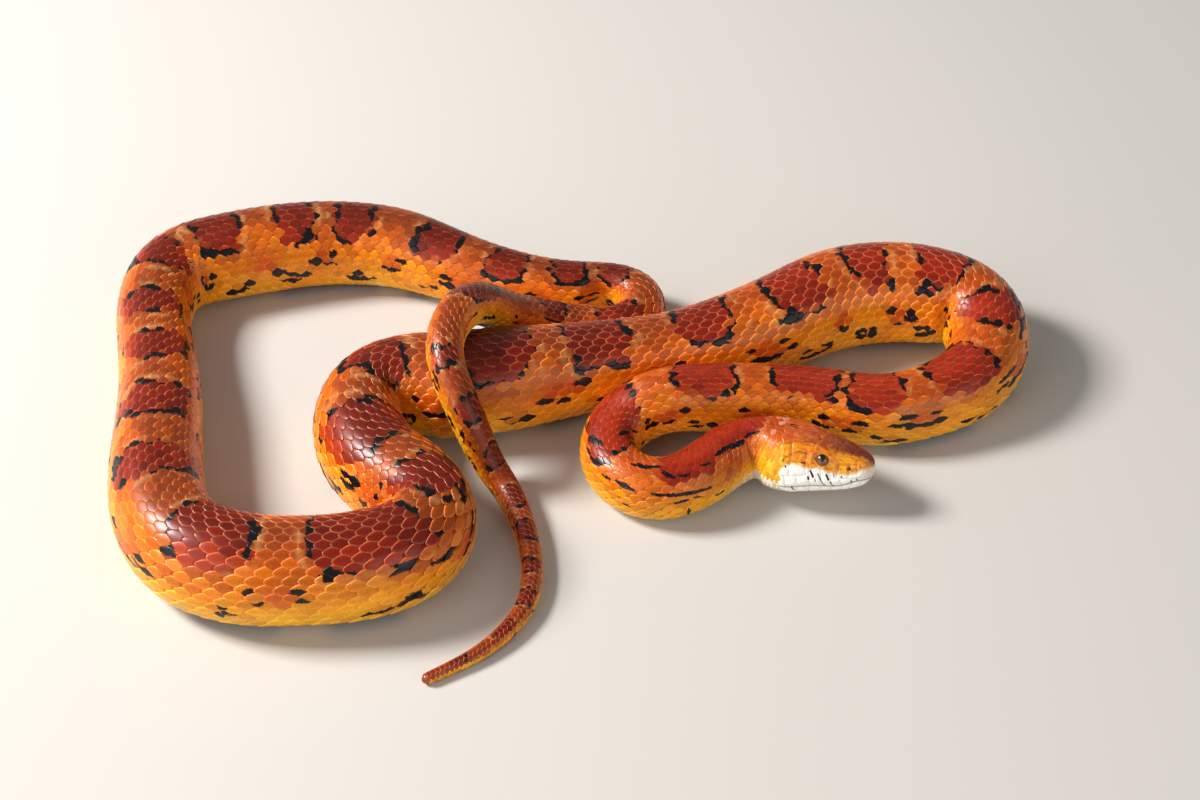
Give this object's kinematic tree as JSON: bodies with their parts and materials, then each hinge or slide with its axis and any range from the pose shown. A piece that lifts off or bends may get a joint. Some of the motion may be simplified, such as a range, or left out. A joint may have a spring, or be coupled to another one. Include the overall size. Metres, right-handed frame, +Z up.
{
  "type": "corn snake",
  "caption": "Life-size corn snake lying in loose loops, the tail crossing over its own back and the head raised a little off the floor.",
  "frame": {"origin": "on the floor, at the bottom centre of the animal's outer box", "axes": "+Z up; +X along the longest extent of the pose, towards the end the head points to; +Y away from the side the head lies on"},
  "size_m": [0.3006, 0.2038, 0.0468],
  "materials": {
    "back_scales": "smooth glossy scales, dark red saddles edged black on orange, amber flanks and a cream belly chequered black",
    "tail_scales": "small glossy scales, dark red bands edged black on orange",
    "head_scales": "large smooth head shields, orange brown with faint dark bars, white upper lip",
    "pale_scales": "smooth cream-white chin and lip scales with a few black bars",
    "eye": "clear wet spectacle over an orange-brown iris and round black pupil"
  },
  "bodies": {
    "root": {"head": "head_scales", "lower_jaw": "pale_scales", "eye_left": "eye", "eye_right": "eye", "neck": "back_scales", "trunk_01": "back_scales", "trunk_02": "back_scales", "trunk_03": "back_scales", "trunk_04": "back_scales", "trunk_05": "back_scales", "trunk_06": "back_scales", "trunk_07": "back_scales", "trunk_08": "back_scales", "trunk_09": "back_scales", "trunk_10": "back_scales", "trunk_11": "back_scales", "trunk_12": "back_scales", "trunk_13": "back_scales", "tail_1": "tail_scales", "tail_2": "tail_scales", "tail_3": "tail_scales", "tail_4": "tail_scales"}
  },
  "joints": []
}
